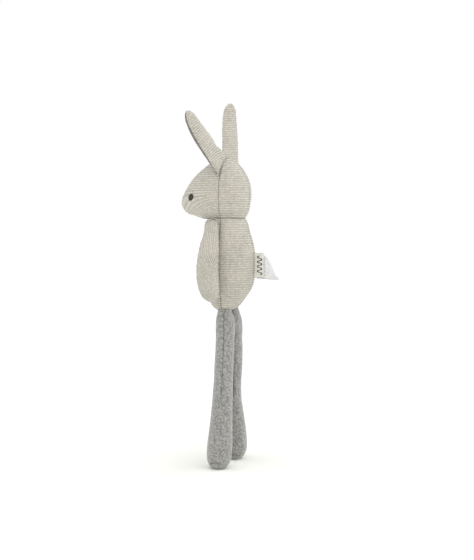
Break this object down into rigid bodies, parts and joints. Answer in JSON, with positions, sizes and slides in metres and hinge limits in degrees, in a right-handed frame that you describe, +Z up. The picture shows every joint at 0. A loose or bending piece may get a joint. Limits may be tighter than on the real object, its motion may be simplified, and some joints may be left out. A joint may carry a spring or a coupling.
{
  "type": "stuffed rabbit toy",
  "caption": "Soft standing rabbit toy with long jersey legs, rib-knit head, body and arms, upright ears, stitched face and two tape labels in the back seam.",
  "frame": {"origin": "middle of the footprint, at the height of the soles", "axes": "+Z up, the toy faces -Y, its left side is at +X"},
  "size_m": [0.1016, 0.1315, 0.446],
  "materials": {
    "knit": "matt fine two-tone rib knit",
    "jersey": "matt grey melange jersey with a light fuzz",
    "ear_lining": "matt darker grey jersey",
    "wadding": "white polyester wadding",
    "thread": "dark satin stitch embroidery thread",
    "woven_tape": "cream woven tape",
    "satin_tape": "white satin tape"
  },
  "bodies": {
    "body": {"body_front": "knit", "body_back_left": "knit", "body_back_right": "knit", "body_filling": "wadding"},
    "head": {"head_front_left": "knit", "head_front_right": "knit", "head_back_left": "knit", "head_back_right": "knit", "head_filling": "wadding", "eye_left": "thread", "eye_right": "thread", "nose": "thread"},
    "ear_left": {"ear_left_outer": "knit", "ear_left_lining": "ear_lining", "ear_left_wadding": "wadding"},
    "ear_right": {"ear_right_outer": "knit", "ear_right_lining": "ear_lining", "ear_right_wadding": "wadding"},
    "labels": {"woven_label": "woven_tape", "care_label": "satin_tape"},
    "arm_left": {"arm_left_outer": "knit", "arm_left_inner": "knit", "arm_left_filling": "wadding"},
    "arm_right": {"arm_right_outer": "knit", "arm_right_inner": "knit", "arm_right_filling": "wadding"},
    "leg_left": {"leg_left_front": "jersey", "leg_left_back": "jersey", "leg_left_filling": "wadding"},
    "leg_right": {"leg_right_front": "jersey", "leg_right_back": "jersey", "leg_right_filling": "wadding"}
  },
  "joints": [
    {"name": "head_nod", "type": "hinge", "parent": "body", "child": "head", "pos_m": [0, -0.0022, 0.3025], "axis": [1, 0, 0], "range_deg": [-10, 10], "stiffness_Nm_per_rad": 0.2},
    {"name": "ear_left_fold", "type": "hinge", "parent": "head", "child": "ear_left", "pos_m": [0.018, -0.0022, 0.3705], "axis": [0.65, 0, -0.76], "range_deg": [-45, 20], "stiffness_Nm_per_rad": 0.02},
    {"name": "ear_right_fold", "type": "hinge", "parent": "head", "child": "ear_right", "pos_m": [-0.018, -0.0022, 0.3705], "axis": [0.65, 0, 0.76], "range_deg": [-30, 35], "stiffness_Nm_per_rad": 0.02},
    {"name": "arm_left_swing", "type": "hinge", "parent": "body", "child": "arm_left", "pos_m": [0.031, -0.0092, 0.293], "axis": [-1, 0, 0], "range_deg": [-60, 135]},
    {"name": "arm_right_swing", "type": "hinge", "parent": "body", "child": "arm_right", "pos_m": [-0.031, -0.0092, 0.293], "axis": [-1, 0, 0], "range_deg": [-60, 135]},
    {"name": "leg_left_swing", "type": "hinge", "parent": "body", "child": "leg_left", "pos_m": [0.012, -0.001, 0.1865], "axis": [-1, 0, 0], "range_deg": [-35, 90]},
    {"name": "leg_right_swing", "type": "hinge", "parent": "body", "child": "leg_right", "pos_m": [-0.012, -0.001, 0.1865], "axis": [-1, 0, 0], "range_deg": [-35, 90]},
    {"name": "label_flap", "type": "hinge", "parent": "body", "child": "labels", "pos_m": [0, 0.0338, 0.23], "axis": [0, 0, 1], "range_deg": [-45, 45]}
  ]
}
